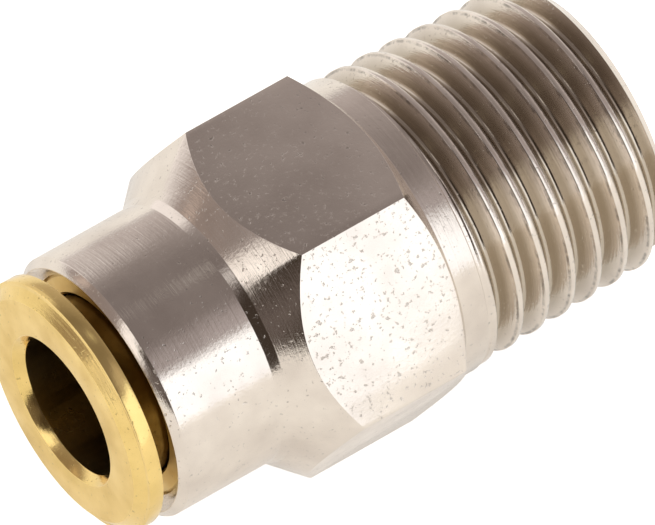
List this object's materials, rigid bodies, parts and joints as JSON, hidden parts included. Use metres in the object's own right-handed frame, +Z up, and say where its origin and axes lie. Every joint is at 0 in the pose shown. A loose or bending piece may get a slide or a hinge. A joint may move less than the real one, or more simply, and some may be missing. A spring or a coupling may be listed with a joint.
{
  "type": "push-in fitting",
  "caption": "Straight push-in tube fitting: a hexagon with a taper pipe thread at one end and a brass release collet in the collar at the other.",
  "frame": {"origin": "on the fitting's axis, where the hexagon's back chamfer meets the threaded stem's neck", "axes": "+X along the axis from the release collet towards the threaded end; +Z up with the hexagon lying on one flat; +Y across"},
  "size_m": [0.0261, 0.0162, 0.014],
  "materials": {
    "nickel": "satin nickel plate on turned brass",
    "brass": "bare brass, satin face and polished edges",
    "brass_sleeve": "bare turned brass",
    "ring_metal": "bare turned brass",
    "rubber": "matt black rubber"
  },
  "bodies": {
    "fitting": {"body": "nickel", "clamp_sleeve": "brass_sleeve", "support_ring": "ring_metal", "o_ring": "rubber"},
    "collet": {"release_collet": "brass"}
  },
  "joints": [
    {"name": "release_slide", "type": "slide", "parent": "fitting", "child": "collet", "axis": [1, 0, 0], "range_m": [0, 0.0007]}
  ]
}
